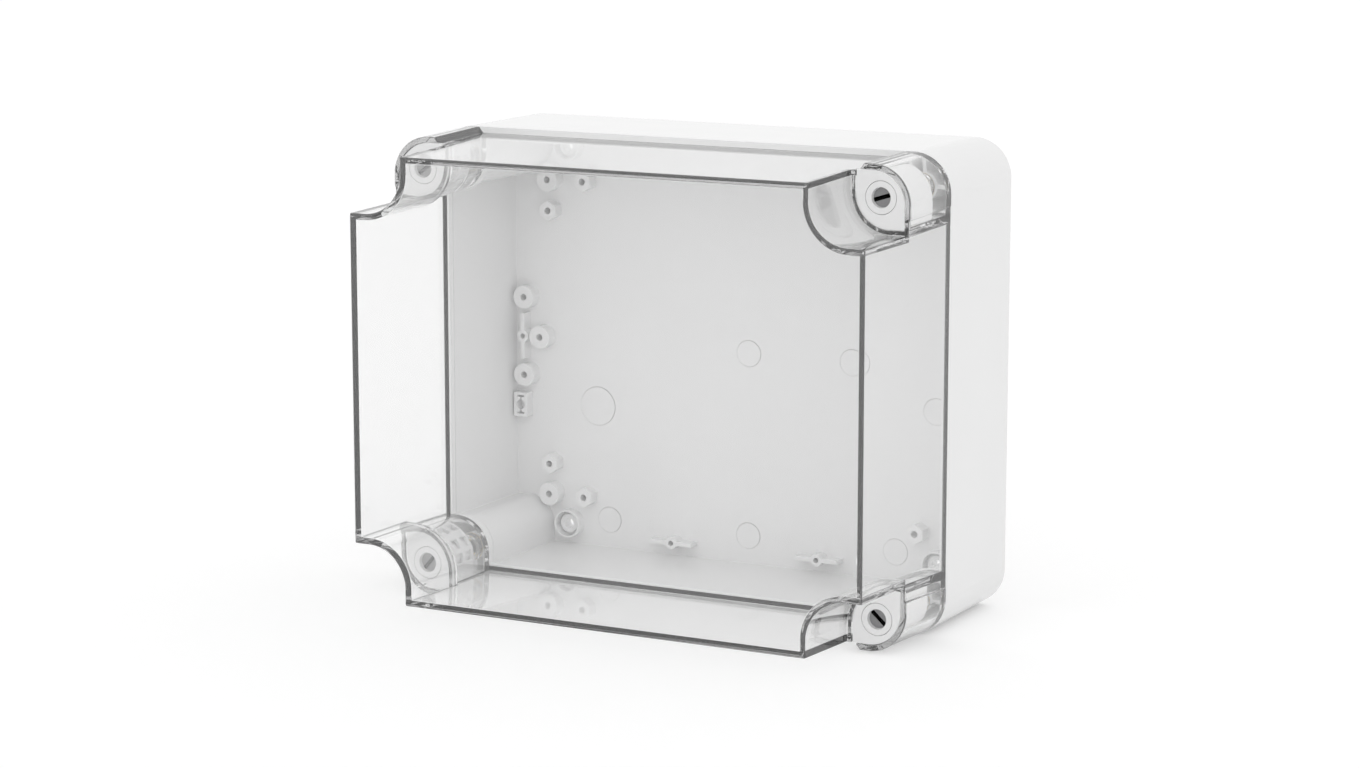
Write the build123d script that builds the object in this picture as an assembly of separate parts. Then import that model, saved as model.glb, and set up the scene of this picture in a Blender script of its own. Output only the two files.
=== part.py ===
# Sealed wall box: a deep clear lid on a light grey base, held by four captive screws.
# Millimetres. X is to the right and Z is up as the box hangs on its wall. The wall is the plane Y = 0,
# the box stands out of it towards -Y, and the origin is the centre of the box's back face.

from build123d import *
import os

# Closed box
width = 291.0
height = 241.0
base_depth = 76.0
lid_depth = 92.0
corner_radius = 20.0

# Base tub
base_wall = 4.2
end_wall = 7.6
back_wall = 4.0
back_edge_chamfer = 1.2
post_width = 22.7
post_height = 24.4
post_radius = 15.0
rim_lip = 1.8
rim_lip_height = 4.0
rim_lip_slope = 3.0

# Seal
seal_inside = 0.6
seal_outside = 3.0
seal_height = 2.9
seal_side_gap = 0.15
lid_seat_gap = 0.1
seal_squeeze_gap = 0.1

# Lid
lid_wall = 3.0
lid_side_inset = 0.3
lid_end_inset = 3.1
lid_narrowing = 3.3
lid_edge_chamfer = 0.8
notch_width = 29.6
notch_height = 29.6
notch_radius = 21.0
turret_depth = 46.0
turret_narrowing = 1.3
turret_start_x = 24.5
turret_start_z = 25.5
turret_ramp = 5.0
turret_lip = 3.2
turret_rim_shift_x = 4.2
turret_rim_shift_z = 1.8
turret_inner_radius = 16.0
web_thickness = 3.0
web_hole_radius = 4.2
web_collar_wall = 2.2
web_collar_height = 2.9

# Corner insert
insert_plate = 3.0
insert_recess = 0.8
insert_ledge = 1.0
insert_gap = 0.25
insert_skirt = 1.8
insert_length = 29.2
insert_rib = 1.6
sleeve_wall = 3.3
window_rows = 3
window_height = 5.6
window_width = 4.6
side_window_turn = 180
end_window_turn = 270

# Lid screw
screw_inset_x = 16.9
screw_inset_z = 17.5
head_radius = 8.0
head_height = 5.45
head_gap = 0.2
recess_radius = 5.0
recess_depth = 2.6
slot_width = 2.0
slot_depth = 1.6
neck_radius = 3.5
neck_gap = 0.2
shank_radius = 3.0
screw_engagement = 4.8
screw_pitch = 1.25
screw_turns = 4
tip_chamfer = 0.7
slot_angles = {"top_left": 40, "top_right": 18, "bottom_left": 48, "bottom_right": -42}

# Retaining ring under each sleeve
ring_thickness = 1.0
ring_radius = 5.2
ring_gap = 0.08
ring_side_gap = 0.1
groove_depth = 0.7
ring_slit = 3.4
ring_stop_gap = 0.3

# Threaded bush in each post
bush_radius = 5.0
bush_length = 12.0
bush_gap = 0.05
thread_gap = 0.08
boss_wall = 1.5
boss_drop = 2.0
boss_rib = 2.0

# Fixing points moulded on the back wall
stud_height = 7.0
stud_radius = 6.25
hex_flats = 9.5
pilot_radius = 1.8
pilot_floor = 1.0
side_stud_inset = 12.3
side_stud_z = 21.3
centre_stud_inset = 22.1
corner_stud_inset_x = 27.4
corner_stud_inset_z = 34.6
hex_side_inset_x = 27.7
hex_side_inset_z = 51.3
hex_end_inset_x = 48.9
wing_hub_radius = 3.4
wing_pilot_radius = 1.4
wing_length = 25.0
wing_thickness = 2.4
wing_side_inset = 11.6
wing_end_x = 43.1
wing_end_inset = 15.1
clamp_block_width = 8.3
clamp_block_height = 13.2
clamp_block_depth = 6.0
clamp_block_inset = 9.5
clamp_block_z = -38.0
clamp_hole_radius = 2.5
clamp_slit_length = 4.4
clamp_slit_width = 0.9
clamp_slit_offset = 4.6

# Faint round marks that the mould left on the back wall
mark_depth = 0.15
ejector_radius = 7.0
ejector_places = [(0, 0), (60, 0), (105, -22), (0, -98), (83, -98), (-84, -98)]
gate_radius = 10.5
gate_x = -91.0
gate_z = -36.0

# Wall fixing points
wall_hole_inset_x = 37.8
wall_hole_inset_z = 18.8
wall_hole_radius = 2.7
collar_radius = 7.75
collar_wall = 1.1
collar_height = 6.0
hub_radius = 5.15
hub_height = 3.0

half_width = width / 2
half_height = height / 2
box_depth = base_depth + lid_depth
lid_foot = base_depth + lid_seat_gap
turret_face = base_depth + turret_depth
screw_x = half_width - screw_inset_x
screw_z = half_height - screw_inset_z
overrun = 1.0

CORNERS = {
    "top_left": (-1, 1),
    "top_right": (1, 1),
    "bottom_left": (-1, -1),
    "bottom_right": (1, -1),
}


def level(distance):
    """The plane parallel to the wall at a distance from it, with X to the right and Z up."""
    return Plane.XZ.offset(distance)


def prism(outline, near, far):
    """A straight solid of an outline, from one distance off the wall to another."""
    return extrude(level(near) * outline, far - near)


def drafted(near_outline, near, far_outline, far):
    """A solid that changes evenly from one outline to another of the same kind."""
    return loft([level(near) * near_outline, level(far) * far_outline], ruled=True)


def rod(x, z, radius, near, far):
    """A round solid square to the wall."""
    return prism(Pos(x, z) * Circle(radius), near, far)


def blend(start, end, share):
    """The value at a share of the way from start to end."""
    return start + (end - start) * share


def leaf(x_in, z_in, x_out, z_out, r_in, r_out):
    """The outline of a box corner: its inner and outer corners are round, the other two are square."""
    centre = Pos((x_in + x_out) / 2, (z_in + z_out) / 2)
    outline = centre * Rectangle(x_out - x_in, z_out - z_in)
    inner = outline.vertices().sort_by(lambda v: v.X + v.Y)[0]
    outline = fillet(inner, r_in)
    if r_out > 0:
        outer = outline.vertices().sort_by(lambda v: v.X + v.Y)[-1]
        outline = fillet(outer, r_out)
    return outline


def to_corner(shape, side, end):
    """A shape of the top right corner, mirrored to the corner at the given side and end."""
    if side < 0:
        shape = mirror(shape, Plane.YZ)
    if end < 0:
        shape = mirror(shape, Plane.XY)
    return shape


def four_flat(outline):
    """A flat outline of the top right corner, with its copies in the other three corners."""
    right = outline + mirror(outline, Plane.XZ)
    return right + mirror(right, Plane.YZ)


def four(shape):
    """A solid of the top right corner, with its copies in the other three corners."""
    right = shape + mirror(shape, Plane.XY)
    return right + mirror(right, Plane.YZ)


def cross_outline(half_x, half_z, notch_x, notch_z, radius):
    """A rectangle with a round-cornered notch at each corner, which is the form of the sealed space."""
    notch = leaf(notch_x, notch_z, half_x + overrun, half_z + overrun, radius, 0)
    return Rectangle(2 * half_x, 2 * half_z) - four_flat(notch)


def tub_outline(grow=0.0):
    """The sealed space of the base, grown or shrunk all round by the same distance."""
    half_x = half_width - base_wall + grow
    half_z = half_height - end_wall + grow
    return cross_outline(half_x, half_z, half_x - post_width, half_z - post_height, post_radius - grow)


def base_studs():
    """Round, hexagonal and winged studs with blind pilot holes, on the inside of the back wall."""
    top = back_wall + stud_height
    studs = Part()
    holes = Part()
    corner_stud_z = half_height - corner_stud_inset_z
    round_places = [
        (half_width - side_stud_inset, side_stud_z),
        (half_width - centre_stud_inset, 0),
        (half_width - corner_stud_inset_x, corner_stud_z),
    ]
    hex_places = [
        (half_width - hex_side_inset_x, half_height - hex_side_inset_z),
        (half_width - hex_end_inset_x, corner_stud_z),
    ]
    winged_places = [
        (half_width - wing_side_inset, 0, wing_thickness, wing_length),
        (wing_end_x, half_height - wing_end_inset, wing_length, wing_thickness),
    ]
    for x, z in round_places:
        studs += rod(x, z, stud_radius, back_wall - overrun, top)
    for x, z in hex_places:
        outline = Pos(x, z) * RegularPolygon(hex_flats / 2, 6, major_radius=False, rotation=30)
        studs += prism(outline, back_wall - overrun, top)
    for x, z in round_places + hex_places:
        holes += rod(x, z, pilot_radius, pilot_floor, top + overrun)
    for x, z, across, upright in winged_places:
        outline = Pos(x, z) * (Rectangle(across, upright) + Circle(wing_hub_radius))
        studs += prism(outline, back_wall - overrun, top)
        holes += rod(x, z, wing_pilot_radius, pilot_floor, top + overrun)
    return four(studs), four(holes)


def wall_points():
    """Collars round the holes for the wall screws, each with a lower hub inside it."""
    top = back_wall + collar_height
    x = half_width - wall_hole_inset_x
    z = half_height - wall_hole_inset_z
    collar = Circle(collar_radius) - Circle(collar_radius - collar_wall)
    solid = prism(Pos(x, z) * collar, back_wall - overrun, top)
    solid += rod(x, z, hub_radius, back_wall - overrun, back_wall + hub_height)
    hole = rod(x, z, wall_hole_radius, -overrun, top + overrun)
    return four(solid), four(hole)


def mould_marks():
    """The shallow round marks on the inside of the back wall."""
    low = back_wall - mark_depth
    marks = rod(gate_x, gate_z, gate_radius, low, back_wall + overrun)
    for x, z in ejector_places:
        marks += rod(x, z, ejector_radius, low, back_wall + overrun)
    return marks


def clamp_block():
    """A small block on the left of the back wall, with a round socket between two slits."""
    place = Pos(clamp_block_inset - half_width, clamp_block_z)
    block = place * Rectangle(clamp_block_width, clamp_block_height)
    socket = Circle(clamp_hole_radius)
    slit = Rectangle(clamp_slit_length, clamp_slit_width)
    socket += Pos(0, clamp_slit_offset) * slit
    socket += Pos(0, -clamp_slit_offset) * slit
    socket += Rectangle(clamp_slit_width, 2 * clamp_slit_offset)
    top = back_wall + clamp_block_depth
    solid = prism(block, back_wall - overrun, top)
    return solid - prism(place * socket, back_wall + overrun, top + overrun)


def post_wells():
    """The open wells in the four corner posts, and the ribbed bosses that hold the bushes."""
    wall_x = half_width - base_wall
    wall_z = half_height - base_wall
    x_in = half_width - post_width
    z_in = half_height - end_wall - post_height + base_wall
    outline = leaf(x_in, z_in, wall_x, wall_z, post_radius - base_wall, corner_radius - base_wall)
    well = prism(outline, back_wall, base_depth + overrun)
    boss_top = base_depth - boss_drop
    boss = rod(screw_x, screw_z, bush_radius + boss_wall, back_wall - overrun, boss_top)
    across = Pos((screw_x + wall_x) / 2, screw_z) * Rectangle(wall_x - screw_x, boss_rib)
    upright = Pos(screw_x, (screw_z + wall_z) / 2) * Rectangle(boss_rib, wall_z - screw_z)
    boss += prism(across + upright, back_wall - overrun, boss_top)
    bore = rod(screw_x, screw_z, bush_radius, boss_top - bush_length, boss_top + overrun)
    return four(well), four(boss), four(bore)


def base_shell():
    """The grey tub: corner posts, a rim with the seal's groove, and the fittings on its back wall."""
    outline = RectangleRounded(width, height, corner_radius)
    tub = prism(outline, 0, base_depth)
    tub = chamfer(tub.edges().group_by(Axis.Y)[-1], back_edge_chamfer)
    lip_foot = base_depth - rim_lip_height
    slope_foot = lip_foot - rim_lip_slope
    tub -= prism(tub_outline(), back_wall, slope_foot)
    tub -= drafted(tub_outline(), slope_foot, tub_outline(-rim_lip), lip_foot)
    tub -= prism(tub_outline(-rim_lip), lip_foot, base_depth + overrun)
    groove = tub_outline(seal_outside) - tub_outline(-seal_inside)
    tub -= prism(groove, base_depth - seal_height - seal_squeeze_gap, base_depth + overrun)
    wells, bosses, bores = post_wells()
    studs, pilots = base_studs()
    collars, wall_holes = wall_points()
    tub = tub - wells - mould_marks() + bosses + studs + collars + clamp_block()
    return tub - bores - pilots - wall_holes


def rim_gasket():
    """The dark seal that lies in the rim's groove and goes round inside the four posts."""
    outline = tub_outline(seal_outside - seal_side_gap) - tub_outline(seal_side_gap - seal_inside)
    foot = base_depth - seal_height - seal_squeeze_gap
    return prism(outline, foot, foot + seal_height)


def lid_half(distance, inset=0.0):
    """Half the width and height of the lid between its turrets, at a distance from the wall."""
    shrink = lid_narrowing * (distance - base_depth) / lid_depth + inset
    return half_width - lid_side_inset - shrink, half_height - lid_end_inset - shrink


def lid_cross(distance, inset=0.0, chamfer=0.0):
    """The lid's outline in front of the turrets, where its corners are cut back in round notches."""
    front_x, front_z = lid_half(box_depth)
    flare = lid_narrowing * (box_depth - distance) / lid_depth / 2
    half_x, half_z = lid_half(distance, inset + chamfer)
    notch_x = front_x - notch_width + flare - inset - chamfer
    notch_z = front_z - notch_height + flare - inset - chamfer
    return cross_outline(half_x, half_z, notch_x, notch_z, notch_radius + inset + chamfer)


def turret_half(distance, inset=0.0):
    """Half the width and height over the corner turrets, which stand flush with the base."""
    shrink = turret_narrowing * (distance - base_depth) / turret_depth + inset
    return half_width - shrink, half_height - shrink


def turret_inner(distance):
    """Where a turret's pocket starts, from the middle of the box, at a distance from the wall."""
    front_x, front_z = lid_half(box_depth)
    share = (turret_face - distance) / turret_depth
    x_in = front_x - notch_width + turret_lip + turret_rim_shift_x * share
    z_in = front_z - notch_height + turret_lip + turret_rim_shift_z * share
    return x_in, z_in


def shaft_outline(distance):
    """The pocket behind an insert's plate, at a distance from the wall."""
    x_in, z_in = turret_inner(distance)
    x_out, z_out = turret_half(distance, lid_wall + insert_ledge)
    r_out = corner_radius - lid_wall - insert_ledge
    return leaf(x_in + insert_ledge, z_in + insert_ledge, x_out, z_out, turret_inner_radius, r_out)


def skirt_outline(inset):
    """The largest straight outline that clears the whole shaft of an insert, shrunk by inset."""
    x_in, z_in = turret_inner(sleeve_foot())
    x_out, z_out = turret_half(turret_face, lid_wall + insert_ledge + inset)
    r_out = corner_radius - lid_wall - insert_ledge - inset
    inset += insert_ledge
    return leaf(x_in + inset, z_in + inset, x_out, z_out, turret_inner_radius - inset, r_out)


def plate_outline(inset=0.0):
    """The front of a turret's pocket, where an insert's plate lies, shrunk all round by inset."""
    x_in, z_in = turret_inner(turret_face)
    x_out, z_out = turret_half(turret_face, lid_wall + inset)
    r_in = notch_radius - lid_wall - inset
    return leaf(x_in + inset, z_in + inset, x_out, z_out, r_in, corner_radius - lid_wall - inset)


def turret_blocks():
    """The lid's four corner turrets, with a short ramp down to the walls between them."""
    low_x, low_z = turret_half(lid_foot)
    high_x, high_z = turret_half(turret_face)
    near = RectangleRounded(2 * low_x, 2 * low_z, corner_radius)
    far = RectangleRounded(2 * high_x, 2 * high_z, corner_radius)
    body = drafted(near, lid_foot, far, turret_face)
    x_in = half_width - turret_start_x
    z_in = half_height - turret_start_z
    front_x, front_z = lid_half(box_depth)
    beyond = corner_radius
    corner = Polyline(
        (x_in - turret_ramp, z_in - turret_ramp),
        (x_in - turret_ramp, front_z),
        (x_in, half_height),
        (x_in, half_height + beyond),
        (half_width + beyond, half_height + beyond),
        (half_width + beyond, z_in),
        (half_width, z_in),
        (front_x, z_in - turret_ramp),
        close=True,
    )
    zone = prism(make_face(corner), lid_foot - overrun, turret_face + overrun)
    return body & four(zone)


def lid_cover():
    """The clear lid, one moulding with the sealed space inside and an open pocket in each turret."""
    foot_x, foot_z = lid_half(lid_foot)
    face_x, face_z = lid_half(turret_face)
    radius = corner_radius - lid_end_inset
    near = RectangleRounded(2 * foot_x, 2 * foot_z, radius)
    far = RectangleRounded(2 * face_x, 2 * face_z, radius)
    cover = drafted(near, lid_foot, far, turret_face)
    cover += turret_blocks()
    chamfer_foot = box_depth - lid_edge_chamfer
    cover += drafted(lid_cross(turret_face), turret_face, lid_cross(chamfer_foot), chamfer_foot)
    edge = lid_cross(box_depth, chamfer=lid_edge_chamfer)
    cover += drafted(lid_cross(chamfer_foot), chamfer_foot, edge, box_depth)
    roof = turret_face - lid_wall
    inside_x, inside_z = lid_half(lid_foot, lid_wall)
    roof_x, roof_z = lid_half(roof, lid_wall)
    x_foot, z_foot = turret_inner(lid_foot)
    x_roof, z_roof = turret_inner(roof)
    wall = lid_wall
    round_in = turret_inner_radius + wall
    low = cross_outline(inside_x, inside_z, x_foot - wall, z_foot - wall, round_in)
    high = cross_outline(roof_x, roof_z, x_roof - wall, z_roof - wall, round_in)
    cover -= drafted(low, lid_foot, high, roof)
    ceiling = box_depth - lid_wall
    cover -= drafted(lid_cross(roof, wall), roof, lid_cross(ceiling, wall), ceiling)
    return cover - four(turret_pocket()) + four(web_collar()) - four(web_hole())


def turret_pocket():
    """The pocket of one turret, with a ledge that carries the insert's plate."""
    web_top = lid_foot + web_thickness
    ledge = turret_face - insert_recess - insert_plate
    shaft = drafted(shaft_outline(web_top), web_top, shaft_outline(ledge), ledge)
    return shaft + prism(plate_outline(), ledge, turret_face + overrun)


def web_collar():
    """The raised ring round the screw's hole in a turret's web."""
    web_top = lid_foot + web_thickness
    radius = web_hole_radius + web_collar_wall
    return rod(screw_x, screw_z, radius, lid_foot, web_top + web_collar_height)


def web_hole():
    """The hole that lets the screw through a turret's web."""
    far = lid_foot + web_thickness + web_collar_height + overrun
    return rod(screw_x, screw_z, web_hole_radius, lid_foot - overrun, far)


def corner_insert():
    """The white insert of one turret: a plate, a windowed skirt, ribs and the screw's sleeve."""
    face = turret_face - insert_recess
    seat = face - insert_plate
    foot = seat - insert_length + insert_plate
    plate = prism(plate_outline(insert_gap), seat, face)
    body = prism(skirt_outline(insert_gap), foot, seat)
    hollow = prism(skirt_outline(insert_gap + insert_skirt), foot, seat)
    skirt = body - hollow
    for column in range(window_rows):
        turn = blend(side_window_turn, end_window_turn, column / (window_rows - 1))
        skirt -= window_column(turn, foot, seat)
    bar = Rectangle(width, insert_rib) + Rectangle(insert_rib, height)
    ribs = prism(Pos(screw_x, screw_z) * bar, foot, seat) & hollow
    sleeve_radius = neck_radius + neck_gap + sleeve_wall
    head_seat = face - head_height
    head_room = head_radius + head_gap
    sleeve = rod(screw_x, screw_z, sleeve_radius, foot, seat)
    sleeve += rod(screw_x, screw_z, head_room + insert_rib, head_seat - insert_plate, seat) & body
    insert = plate + skirt + ribs + sleeve
    insert -= rod(screw_x, screw_z, neck_radius + neck_gap, foot - overrun, face + overrun)
    return insert - rod(screw_x, screw_z, head_room, head_seat, face + overrun)


def window_column(turn, foot, seat):
    """Windows one behind the other through the skirt, on the side that the turn points to."""
    step = (seat - foot) / window_rows
    reach = (post_width + post_height) / 2
    column = Part()
    for row in range(window_rows):
        middle = foot + step * (row + 0.5)
        window = Box(reach, window_height, window_width, align=(Align.MIN, Align.CENTER, Align.CENTER))
        column += Pos(screw_x, -middle, screw_z) * Rot(0, -turn, 0) * window
    return column


def lid_screw(turn):
    """One captive lid screw, with a round recess and a slot that stands at the given turn."""
    face = turret_face - insert_recess
    head_foot = face - head_height
    neck_foot = sleeve_foot() + ring_stop_gap
    tip = base_depth - boss_drop - screw_engagement
    ring_low, ring_high = ring_place()
    screw = rod(screw_x, screw_z, head_radius, head_foot, face)
    screw += rod(screw_x, screw_z, neck_radius, neck_foot, head_foot)
    screw += rod(screw_x, screw_z, shank_radius, tip, neck_foot)
    screw = chamfer(screw.edges().group_by(Axis.Y)[-1], tip_chamfer)
    floor = face - recess_depth
    screw -= rod(screw_x, screw_z, recess_radius, floor, face + overrun)
    slot = Pos(screw_x, screw_z) * Rot(0, 0, turn) * Rectangle(2 * recess_radius, slot_width)
    reach = rod(screw_x, screw_z, recess_radius, floor - slot_depth, face)
    screw -= prism(slot, floor - slot_depth, face) & reach
    groove = Circle(shank_radius + overrun) - Circle(shank_radius - groove_depth)
    low = ring_low - ring_side_gap
    return screw - prism(Pos(screw_x, screw_z) * groove, low, ring_high + ring_side_gap)


def sleeve_foot():
    """How far off the wall an insert's sleeve ends."""
    return turret_face - insert_recess - insert_length


def ring_place():
    """The near and far faces of a retaining ring, which stops the screw at the end of its travel."""
    far = sleeve_foot() - ring_stop_gap - screw_turns * screw_pitch
    return far - ring_thickness, far


def screw_retainer():
    """One open spring ring in the screw's groove, below the insert's sleeve."""
    near, far = ring_place()
    outline = Circle(ring_radius) - Circle(shank_radius - groove_depth + ring_gap)
    outline -= Pos(0, -ring_radius) * Rectangle(ring_slit, 2 * ring_radius)
    return prism(Pos(screw_x, screw_z) * outline, near, far)


def thread_bush():
    """One brass bush, pressed into the top of a post's boss."""
    far = base_depth - boss_drop
    near = far - bush_length
    bush = rod(screw_x, screw_z, bush_radius - bush_gap, near, far)
    hole = shank_radius + thread_gap
    return bush - rod(screw_x, screw_z, hole, near - overrun, far + overrun)


os.makedirs("parts", exist_ok=True)
export_step(base_shell(), "parts/base_shell.step")
export_step(rim_gasket(), "parts/rim_gasket.step")
export_step(lid_cover(), "parts/lid_cover.step")
insert_shape = corner_insert()
retainer_shape = screw_retainer()
bush_shape = thread_bush()
for corner, (side, end) in CORNERS.items():
    mirrored_turn = slot_angles[corner] * side * end
    export_step(to_corner(insert_shape, side, end), f"parts/corner_insert_{corner}.step")
    export_step(to_corner(lid_screw(mirrored_turn), side, end), f"parts/lid_screw_{corner}.step")
    export_step(to_corner(retainer_shape, side, end), f"parts/screw_retainer_{corner}.step")
    export_step(to_corner(bush_shape, side, end), f"parts/thread_bush_{corner}.step")
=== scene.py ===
# Sealed wall box with a deep clear lid, as it stands in a bright studio.
# Sizes are in metres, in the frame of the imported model: X right, Z up, the lid facing -Y.

import bpy
from math import cos, radians, sin
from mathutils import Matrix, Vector


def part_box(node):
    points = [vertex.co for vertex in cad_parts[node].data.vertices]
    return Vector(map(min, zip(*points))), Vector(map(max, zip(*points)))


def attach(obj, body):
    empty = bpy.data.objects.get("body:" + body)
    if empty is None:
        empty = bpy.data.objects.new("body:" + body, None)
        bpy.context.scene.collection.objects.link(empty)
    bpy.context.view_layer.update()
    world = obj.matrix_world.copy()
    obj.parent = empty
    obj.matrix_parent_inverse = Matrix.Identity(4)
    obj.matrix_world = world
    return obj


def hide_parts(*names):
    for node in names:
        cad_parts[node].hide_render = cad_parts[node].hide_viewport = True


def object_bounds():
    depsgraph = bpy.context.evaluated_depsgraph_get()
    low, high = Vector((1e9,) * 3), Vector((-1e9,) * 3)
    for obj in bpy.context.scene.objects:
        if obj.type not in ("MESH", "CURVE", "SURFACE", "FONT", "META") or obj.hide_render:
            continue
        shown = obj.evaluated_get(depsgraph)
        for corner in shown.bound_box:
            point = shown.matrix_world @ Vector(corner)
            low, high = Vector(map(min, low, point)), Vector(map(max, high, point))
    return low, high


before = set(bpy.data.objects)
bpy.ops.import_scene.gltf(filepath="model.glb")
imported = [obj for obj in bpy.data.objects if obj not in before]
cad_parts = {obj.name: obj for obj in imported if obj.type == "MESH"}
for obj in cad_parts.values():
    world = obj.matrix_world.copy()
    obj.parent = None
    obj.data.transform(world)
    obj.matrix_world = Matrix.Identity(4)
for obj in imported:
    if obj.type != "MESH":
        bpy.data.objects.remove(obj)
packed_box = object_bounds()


# Base moulding
# The base is one light grey moulding, with corner posts, a grooved rim and studs on its back wall.
# Its skin mirrors a little, and has a fine grain and slow waves where the plastic shrank as it cooled.
base_colour = (0.885, 0.885, 0.885, 1.0)
base_roughness = 0.16
base_grain_size = 0.0003
base_grain_depth = 0.06
base_wave_depth = 0.02
base_edge_radius = 0.0003
plastic_refraction = 1.5
skin_grain_height = 0.0001
skin_grain_detail = 3.0
skin_wave_height = 0.001
skin_wave_scale = 18.0
skin_wave_detail = 1.0
skin_shade_change = 0.015
skin_gloss_change = 0.04
joined_distance = 1e-6
flat_angle = radians(0.4)
sharp_edge_angle = radians(28)
edge_steps = 2


def new_material(name):
    """A material with an empty node tree, and its output node."""
    material = bpy.data.materials.new(name)
    material.use_nodes = True
    material.node_tree.nodes.clear()
    output = material.node_tree.nodes.new("ShaderNodeOutputMaterial")
    return material, output


def principled(material, colour, roughness):
    """A Principled BSDF in a material, with its colour and roughness."""
    shader = material.node_tree.nodes.new("ShaderNodeBsdfPrincipled")
    shader.inputs["Base Color"].default_value = colour
    shader.inputs["Roughness"].default_value = roughness
    return shader


def feed(tree, value, socket):
    """Gives a socket its value, which is another node's socket or a plain value."""
    if isinstance(value, bpy.types.NodeSocket):
        tree.links.new(value, socket)
    else:
        socket.default_value = value


def number_math(tree, operation, first, second):
    """The number that a Math node works out from two values."""
    node = tree.nodes.new("ShaderNodeMath")
    node.operation = operation
    feed(tree, first, node.inputs[0])
    feed(tree, second, node.inputs[1])
    return node.outputs["Value"]


def vector_math(tree, operation, first, second=(0.0, 0.0, 0.0)):
    """A Vector Math node on two vectors."""
    node = tree.nodes.new("ShaderNodeVectorMath")
    node.operation = operation
    feed(tree, first, node.inputs[0])
    feed(tree, second, node.inputs[1])
    return node


def spread(tree, value, low, high):
    """A Map Range node that spreads a value from 0 to 1 over low to high."""
    node = tree.nodes.new("ShaderNodeMapRange")
    feed(tree, value, node.inputs["Value"])
    node.inputs["To Min"].default_value = low
    node.inputs["To Max"].default_value = high
    return node


def noise(tree, place, scale, detail):
    """The value of a noise texture over an object's own space."""
    node = tree.nodes.new("ShaderNodeTexNoise")
    feed(tree, place, node.inputs["Vector"])
    feed(tree, scale, node.inputs["Scale"])
    node.inputs["Detail"].default_value = detail
    return node.outputs["Fac"]


def bumped(tree, height, strength, distance):
    """A Bump node that raises a texture's values to a height of the given distance."""
    node = tree.nodes.new("ShaderNodeBump")
    feed(tree, height, node.inputs["Height"])
    feed(tree, strength, node.inputs["Strength"])
    node.inputs["Distance"].default_value = distance
    return node


def moulded_skin_group():
    """Moulded plastic seen close: a fine grain, slow waves of shrinkage and faint uneven gloss."""
    group = bpy.data.node_groups.new("moulded_skin", "ShaderNodeTree")
    for name, kind, start in (
        ("Colour", "NodeSocketColor", (0.8, 0.8, 0.8, 1.0)),
        ("Roughness", "NodeSocketFloat", 0.3),
        ("Grain Size", "NodeSocketFloat", 0.0004),
        ("Grain Depth", "NodeSocketFloat", 0.1),
        ("Wave Depth", "NodeSocketFloat", 0.05),
    ):
        socket = group.interface.new_socket(name, in_out="INPUT", socket_type=kind)
        socket.default_value = start
    for name, kind in (
        ("Colour", "NodeSocketColor"),
        ("Roughness", "NodeSocketFloat"),
        ("Normal", "NodeSocketVector"),
    ):
        group.interface.new_socket(name, in_out="OUTPUT", socket_type=kind)
    given = group.nodes.new("NodeGroupInput").outputs
    result = group.nodes.new("NodeGroupOutput").inputs
    place = group.nodes.new("ShaderNodeTexCoord").outputs["Object"]

    fineness = number_math(group, "DIVIDE", 1.0, given["Grain Size"])
    grain = noise(group, place, fineness, skin_grain_detail)
    wave = noise(group, place, skin_wave_scale, skin_wave_detail)
    shade = spread(group, wave, 1.0 - skin_shade_change, 1.0 + skin_shade_change)
    tint = vector_math(group, "SCALE", given["Colour"])
    feed(group, shade.outputs["Result"], tint.inputs["Scale"])
    gloss = spread(group, wave, -skin_gloss_change, skin_gloss_change)
    roughness = number_math(group, "ADD", given["Roughness"], gloss.outputs["Result"])
    grain_bump = bumped(group, grain, given["Grain Depth"], skin_grain_height)
    wave_bump = bumped(group, wave, given["Wave Depth"], skin_wave_height)
    feed(group, grain_bump.outputs["Normal"], wave_bump.inputs["Normal"])
    feed(group, tint.outputs["Vector"], result["Colour"])
    feed(group, roughness, result["Roughness"])
    feed(group, wave_bump.outputs["Normal"], result["Normal"])
    return group


moulded_skin = moulded_skin_group()


def moulded_plastic(name, colour, roughness, grain_size, grain_depth, wave_depth):
    """An opaque moulded plastic with its own grain and gloss."""
    material, output = new_material(name)
    tree = material.node_tree
    skin = tree.nodes.new("ShaderNodeGroup")
    skin.node_tree = moulded_skin
    skin.inputs["Colour"].default_value = colour
    skin.inputs["Roughness"].default_value = roughness
    skin.inputs["Grain Size"].default_value = grain_size
    skin.inputs["Grain Depth"].default_value = grain_depth
    skin.inputs["Wave Depth"].default_value = wave_depth
    shader = principled(material, colour, roughness)
    shader.inputs["IOR"].default_value = plastic_refraction
    tree.links.new(skin.outputs["Colour"], shader.inputs["Base Color"])
    tree.links.new(skin.outputs["Roughness"], shader.inputs["Roughness"])
    tree.links.new(skin.outputs["Normal"], shader.inputs["Normal"])
    tree.links.new(shader.outputs["BSDF"], output.inputs["Surface"])
    return material


def dress(node, material, edge_radius):
    """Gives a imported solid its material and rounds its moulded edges."""
    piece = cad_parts[node]
    for slot in piece.material_slots:
        slot.material = material
    joined = piece.modifiers.new("joined_faces", "WELD")
    joined.merge_threshold = joined_distance
    flats = piece.modifiers.new("whole_flats", "DECIMATE")
    flats.decimate_type = "DISSOLVE"
    flats.angle_limit = flat_angle
    edges = piece.modifiers.new("round_edges", "BEVEL")
    edges.width = edge_radius
    edges.segments = edge_steps
    edges.limit_method = "ANGLE"
    edges.angle_limit = sharp_edge_angle
    edges.use_clamp_overlap = False
    edges.harden_normals = True
    shading = piece.modifiers.new("even_shading", "WEIGHTED_NORMAL")
    shading.keep_sharp = True


base_plastic = moulded_plastic(
    "light_grey_plastic", base_colour, base_roughness,
    base_grain_size, base_grain_depth, base_wave_depth,
)
dress("base_shell", base_plastic, base_edge_radius)


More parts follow.
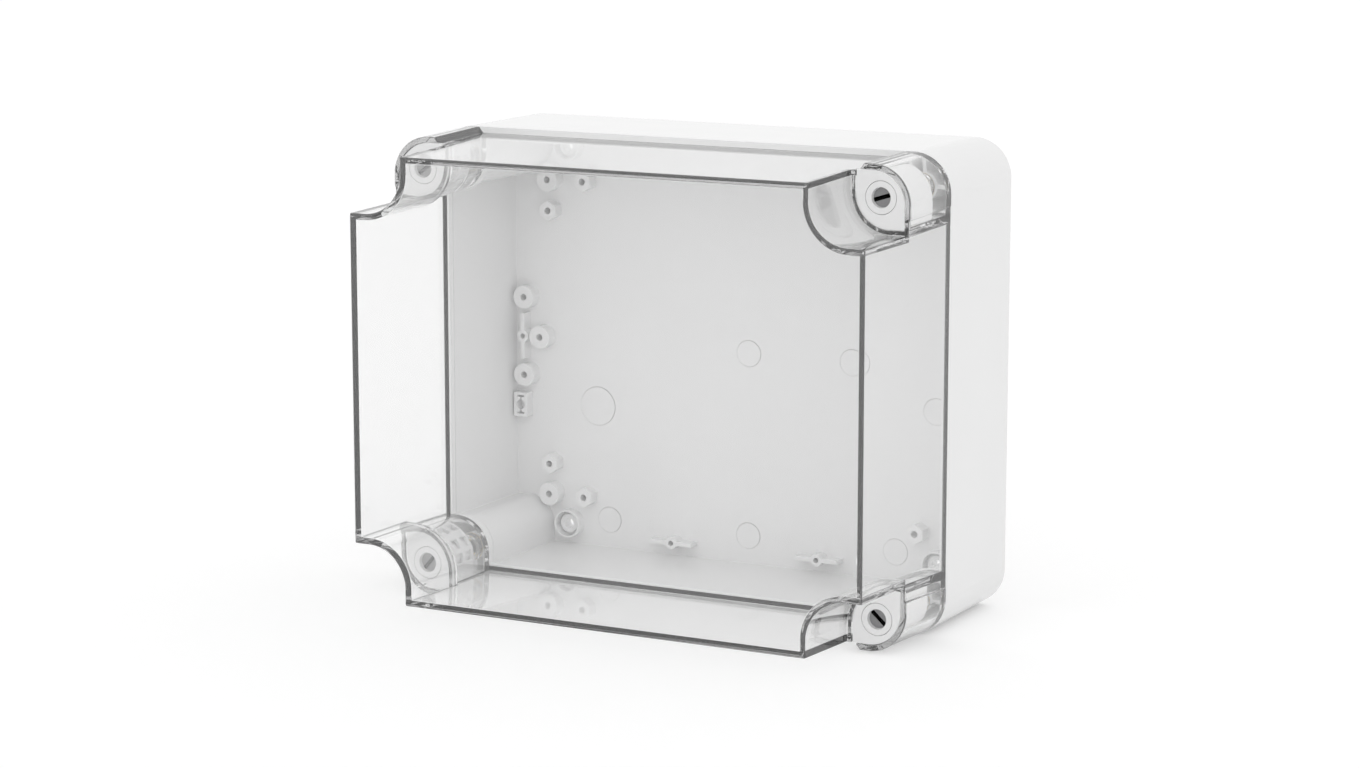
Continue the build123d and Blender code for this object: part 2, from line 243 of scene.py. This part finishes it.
# Seal
# The seal is a dark foamed strip in the groove of the base's rim. At the sides its top is raised a little
# past the lid's foot, and its colour is darker than the foam's own, so it shows as a dark strip through the
# clear wall: partly the seal, partly painted shade for the shadow in the gap between lid and base.
# Near black: the foam's own dark colour, darkened further as painted shade for the gap between lid and base.
seal_and_gap_shade_colour = (0.02, 0.02, 0.02, 1.0)
seal_roughness = 0.75
seal_cell_scale = 2500.0
seal_cell_strength = 0.5
seal_cell_depth = 0.0002
seal_gap_shade_rise = 0.0003
seal_gap_shade_end = 0.095
seal_material, seal_output = new_material("foam_seal_with_painted_gap_shade")
seal_tree = seal_material.node_tree
seal_shader = principled(seal_material, seal_and_gap_shade_colour, seal_roughness)
seal_place = seal_tree.nodes.new("ShaderNodeTexCoord")
seal_cells = seal_tree.nodes.new("ShaderNodeTexVoronoi")
seal_cells.inputs["Scale"].default_value = seal_cell_scale
seal_tree.links.new(seal_place.outputs["Object"], seal_cells.inputs["Vector"])
seal_bump = bumped(seal_tree, seal_cells.outputs["Distance"], seal_cell_strength, seal_cell_depth)
seal_tree.links.new(seal_bump.outputs["Normal"], seal_shader.inputs["Normal"])
seal_tree.links.new(seal_shader.outputs["BSDF"], seal_output.inputs["Surface"])
packed_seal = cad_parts["rim_gasket"]
seal_raised_into_gap_shade = packed_seal.copy()
seal_raised_into_gap_shade.data = packed_seal.data.copy()
seal_raised_into_gap_shade.name = "seal_raised_into_gap_shade"
bpy.context.scene.collection.objects.link(seal_raised_into_gap_shade)
seal_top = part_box("rim_gasket")[0].y
# Raises the seal's top at the sides, so that its dark colour shows there as painted gap shade.
for point in seal_raised_into_gap_shade.data.vertices:
    if abs(point.co.y - seal_top) < seal_gap_shade_rise and abs(point.co.z) < seal_gap_shade_end:
        point.co.y -= seal_gap_shade_rise
for slot in seal_raised_into_gap_shade.material_slots:
    slot.material = seal_material
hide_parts("rim_gasket")
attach(seal_raised_into_gap_shade, "base")


# Threaded bushes
# A turned brass bush sits in the boss of each post, and the lid screw turns into it.
# Its faces keep the fine marks of the tool that turned it.
corners = ("top_left", "top_right", "bottom_left", "bottom_right")
brass_colour = (0.75, 0.58, 0.27, 1.0)
brass_roughness = 0.28
brass_mark_scale = 3000.0
brass_mark_detail = 2.0
brass_mark_strength = 0.15
brass_mark_depth = 0.00005
bush_edge_radius = 0.0002
brass, brass_output = new_material("turned_brass")
brass_tree = brass.node_tree
brass_shader = principled(brass, brass_colour, brass_roughness)
brass_shader.inputs["Metallic"].default_value = 1.0
brass_place = brass_tree.nodes.new("ShaderNodeTexCoord").outputs["Object"]
brass_marks = noise(brass_tree, brass_place, brass_mark_scale, brass_mark_detail)
brass_bump = bumped(brass_tree, brass_marks, brass_mark_strength, brass_mark_depth)
brass_tree.links.new(brass_bump.outputs["Normal"], brass_shader.inputs["Normal"])
brass_tree.links.new(brass_shader.outputs["BSDF"], brass_output.inputs["Surface"])
for corner in corners:
    dress(f"thread_bush_{corner}", brass, bush_edge_radius)


# Clear lid
# The lid is one polished polycarbonate moulding. Light that runs along its walls comes out dark at the edges.
# A trace of haze in the plastic keeps those edges grey rather than black.
lid_refraction = 1.585
lid_clearness = 0.97
lid_absorption = 4.5
lid_absorption_colour = (0.10, 0.10, 0.10, 1.0)
lid_edge_radius = 0.00045
white = (1.0, 1.0, 1.0, 1.0)
clear_plastic, lid_output = new_material("clear_polycarbonate")
lid_nodes = clear_plastic.node_tree.nodes
lid_link = clear_plastic.node_tree.links.new
lid_shader = principled(clear_plastic, white, 0.0)
lid_shader.inputs["Transmission Weight"].default_value = lid_clearness
lid_shader.inputs["IOR"].default_value = lid_refraction
lid_path = lid_nodes.new("ShaderNodeLightPath")
lid_open = lid_nodes.new("ShaderNodeBsdfTransparent")
lid_open.inputs["Color"].default_value = white
lid_shadow_mix = lid_nodes.new("ShaderNodeMixShader")
lid_diffuse_mix = lid_nodes.new("ShaderNodeMixShader")
lid_link(lid_path.outputs["Is Shadow Ray"], lid_shadow_mix.inputs["Fac"])
lid_link(lid_shader.outputs["BSDF"], lid_shadow_mix.inputs[1])
lid_link(lid_open.outputs["BSDF"], lid_shadow_mix.inputs[2])
lid_link(lid_path.outputs["Is Diffuse Ray"], lid_diffuse_mix.inputs["Fac"])
lid_link(lid_shadow_mix.outputs["Shader"], lid_diffuse_mix.inputs[1])
lid_link(lid_open.outputs["BSDF"], lid_diffuse_mix.inputs[2])
lid_link(lid_diffuse_mix.outputs["Shader"], lid_output.inputs["Surface"])
lid_absorber = lid_nodes.new("ShaderNodeVolumeAbsorption")
lid_absorber.inputs["Color"].default_value = lid_absorption_colour
lid_absorber.inputs["Density"].default_value = lid_absorption
lid_link(lid_absorber.outputs["Volume"], lid_output.inputs["Volume"])
dress("lid_cover", clear_plastic, lid_edge_radius)


# Corner inserts
# A near white insert fills each turret of the lid: a plate over a windowed skirt and the screw's sleeve.
# It is one moulding with a coarser grain than the base, pushed into the turret from behind.
insert_colour = (0.86, 0.86, 0.86, 1.0)
insert_roughness = 0.35
insert_grain_size = 0.0004
insert_grain_depth = 0.1
insert_wave_depth = 0.03
insert_edge_radius = 0.0002
insert_plastic = moulded_plastic(
    "near_white_plastic", insert_colour, insert_roughness,
    insert_grain_size, insert_grain_depth, insert_wave_depth,
)
for corner in corners:
    dress(f"corner_insert_{corner}", insert_plastic, insert_edge_radius)


# Lid screws
# Each screw is near white plastic. The floor of the round recess in its head is painted grey and its slot all
# but black:
# painted shade for the shadow that falls in the recess and the slot.
screw_colour = (0.85, 0.85, 0.85, 1.0)
# Painted shade: grey for the recess floor, near black for the slot.
screw_recess_shade_colour = (0.27, 0.27, 0.275, 1.0)
screw_slot_shade_colour = (0.02, 0.02, 0.02, 1.0)
screw_roughness = 0.32
screw_grain_size = 0.0004
screw_grain_depth = 0.1
screw_wave_depth = 0.02
screw_edge_radius = 0.0002
screw_recess_radius = 0.00502
screw_recess_depth = 0.00255
screw_slot_start = 0.0027


def mixed(tree, kind, factor, first, second):
    """What lies between two values, which goes from the first to the second as the factor rises to 1."""
    node = tree.nodes.new("ShaderNodeMix")
    node.data_type = kind
    feed(tree, factor, node.inputs["Factor"])
    feed(tree, first, node.inputs["A"])
    feed(tree, second, node.inputs["B"])
    return node.outputs["Result"]


screw_low, screw_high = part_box("lid_screw_top_right")
screw_middle = ((screw_low.x + screw_high.x) / 2, 0.0, (screw_low.z + screw_high.z) / 2)
screw_plastic = moulded_plastic(
    "screw_plastic", screw_colour, screw_roughness,
    screw_grain_size, screw_grain_depth, screw_wave_depth,
)
screw_tree = screw_plastic.node_tree
screw_place = screw_tree.nodes.new("ShaderNodeTexCoord").outputs["Object"]
screw_depth = screw_tree.nodes.new("ShaderNodeSeparateXYZ")
screw_tree.links.new(screw_place, screw_depth.inputs[0])
screw_fold = vector_math(screw_tree, "ABSOLUTE", screw_place)
screw_flat = vector_math(screw_tree, "MULTIPLY", screw_fold.outputs["Vector"], (1.0, 0.0, 1.0))
screw_reach = vector_math(screw_tree, "DISTANCE", screw_flat.outputs["Vector"], screw_middle)
# Masks for the recess floor and the slot below it, where the painted shade goes.
screw_inside = number_math(screw_tree, "LESS_THAN", screw_reach.outputs["Value"], screw_recess_radius)
screw_y = screw_depth.outputs["Y"]
screw_down = number_math(screw_tree, "GREATER_THAN", screw_y, screw_low.y + screw_recess_depth)
screw_deep = number_math(screw_tree, "GREATER_THAN", screw_y, screw_low.y + screw_slot_start)
screw_recess_shade_mask = number_math(screw_tree, "MULTIPLY", screw_inside, screw_down)
screw_painted_shade = mixed(screw_tree, "RGBA", screw_deep, screw_recess_shade_colour, screw_slot_shade_colour)
screw_skin = screw_tree.nodes["Group"].outputs["Colour"]
# Lays the painted shade over the screw's own colour inside the recess.
screw_skin_with_painted_shade = mixed(screw_tree, "RGBA", screw_recess_shade_mask, screw_skin, screw_painted_shade)
screw_tree.links.new(screw_skin_with_painted_shade, screw_tree.nodes["Principled BSDF"].inputs["Base Color"])
for corner in corners:
    dress(f"lid_screw_{corner}", screw_plastic, screw_edge_radius)


# Retaining rings
# A plated spring ring clips into each screw's groove and keeps the screw in the lid.
# It is bent from thin steel, so its edges are all but sharp.
ring_colour = (0.6, 0.61, 0.62, 1.0)
ring_roughness = 0.3
ring_edge_radius = 0.0001
ring_steel, ring_output = new_material("plated_spring_steel")
ring_shader = principled(ring_steel, ring_colour, ring_roughness)
ring_shader.inputs["Metallic"].default_value = 1.0
ring_steel.node_tree.links.new(ring_shader.outputs["BSDF"], ring_output.inputs["Surface"])
for corner in corners:
    dress(f"screw_retainer_{corner}", ring_steel, ring_edge_radius)


# Studio floor
# The box stands on a white floor that keeps its shadow. The floor has a little light of its own for the
# camera, for mirrors and for glass, so that it shows white there and the box gets no more light from it.
floor_radius = 8.0
floor_sides = 96
floor_gap = 0.0002
floor_colour = (0.9, 0.9, 0.9, 1.0)
floor_lift = 0.2
floor_height = packed_box[0][2] - floor_gap
bpy.ops.mesh.primitive_circle_add(
    vertices=floor_sides, radius=floor_radius, fill_type="NGON", location=(0, 0, floor_height)
)
floor = bpy.context.object
floor.name = "studio_floor"
floor_paint, floor_output = new_material("white_floor")
floor_tree = floor_paint.node_tree
floor_link = floor_tree.links.new
floor_diffuse = floor_tree.nodes.new("ShaderNodeBsdfDiffuse")
floor_diffuse.inputs["Color"].default_value = floor_colour
floor_path = floor_tree.nodes.new("ShaderNodeLightPath").outputs
floor_seen = number_math(floor_tree, "MAXIMUM", floor_path["Is Camera Ray"], floor_path["Is Glossy Ray"])
floor_shown = number_math(floor_tree, "MAXIMUM", floor_seen, floor_path["Is Transmission Ray"])
floor_glow = floor_tree.nodes.new("ShaderNodeEmission")
floor_link(number_math(floor_tree, "MULTIPLY", floor_shown, floor_lift), floor_glow.inputs["Strength"])
floor_add = floor_tree.nodes.new("ShaderNodeAddShader")
floor_link(floor_diffuse.outputs["BSDF"], floor_add.inputs[0])
floor_link(floor_glow.outputs["Emission"], floor_add.inputs[1])
floor_link(floor_add.outputs["Shader"], floor_output.inputs["Surface"])
floor.data.materials.append(floor_paint)


# Studio light
# A white tent stands round the box. It lights matt surfaces most from the right, the front and above,
# and shows white to the camera, in mirrors and through glass.
tent_front = (0.6, -0.52, 0.6)
tent_dim = 0.68
tent_bright = 1.05
tent_dim_end = -0.4
world = bpy.data.worlds.new("white_tent")
bpy.context.scene.world = world
world.use_nodes = True
tent_tree = world.node_tree
tent_tree.nodes.clear()
tent_place = tent_tree.nodes.new("ShaderNodeTexCoord").outputs["Generated"]
tent_way = vector_math(tent_tree, "DOT_PRODUCT", tent_place, Vector(tent_front).normalized())
tent_light = spread(tent_tree, tent_way.outputs["Value"], tent_dim, tent_bright)
tent_light.inputs["From Min"].default_value = tent_dim_end
tent_path = tent_tree.nodes.new("ShaderNodeLightPath").outputs
tent_seen = mixed(tent_tree, "FLOAT", tent_path["Is Diffuse Ray"], 1.0, tent_light.outputs["Result"])
tent_glow = tent_tree.nodes.new("ShaderNodeBackground")
tent_glow.inputs["Color"].default_value = white
tent_tree.links.new(tent_seen, tent_glow.inputs["Strength"])
tent_output = tent_tree.nodes.new("ShaderNodeOutputWorld")
tent_tree.links.new(tent_glow.outputs["Background"], tent_output.inputs["Surface"])


# Camera
# The photograph looks at the box from its right and a little above, through a long lens.
# The camera's turn and rise are counted from straight in front of the lid.
camera_turn = radians(27.96)
camera_rise = radians(10.22)
camera_distance = 1.78
camera_target = Vector((0.00084, -0.084, -0.00359))
camera_lens = 93.07
camera_film_width = 36.0
camera_reach = 50.0
camera_back = Vector((
    sin(camera_turn) * cos(camera_rise),
    -cos(camera_turn) * cos(camera_rise),
    sin(camera_rise),
))
camera_data = bpy.data.cameras.new("camera")
camera_data.lens = camera_lens
camera_data.sensor_width = camera_film_width
camera_data.clip_end = camera_reach
camera = bpy.data.objects.new("camera", camera_data)
bpy.context.scene.collection.objects.link(camera)
camera.location = camera_target + camera_distance * camera_back
camera.rotation_euler = camera_back.to_track_quat("Z", "Y").to_euler()
bpy.context.scene.camera = camera
bpy.context.scene.view_settings.view_transform = "Standard"
